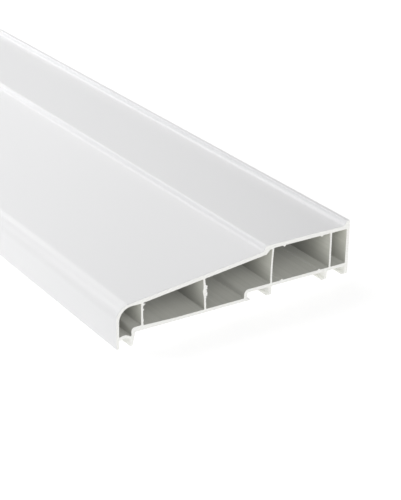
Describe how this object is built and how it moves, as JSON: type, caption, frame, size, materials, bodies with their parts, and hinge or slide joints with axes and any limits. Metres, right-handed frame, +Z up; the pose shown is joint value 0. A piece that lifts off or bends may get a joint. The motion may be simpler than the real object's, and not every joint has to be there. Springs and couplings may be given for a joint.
{
  "type": "hollow window sill board",
  "caption": "Length of white hollow plastic window sill: rounded drip nose, sloping top, flat frame seat with rear upstand, open cut ends.",
  "frame": {"origin": "centre of the board's box, on the floor it lies on", "axes": "+Y along the board, from the cut end in view to the far one; +X from the nose to the back edge; +Z up, with the board lying unheld on its rear drip lip and back foot"},
  "size_m": [0.152, 1.25, 0.033],
  "materials": {
    "white_plastic": "satin-gloss extruded skin, dull saw-cut ends"
  },
  "bodies": {
    "root": {"sill_board": "white_plastic"}
  },
  "joints": []
}
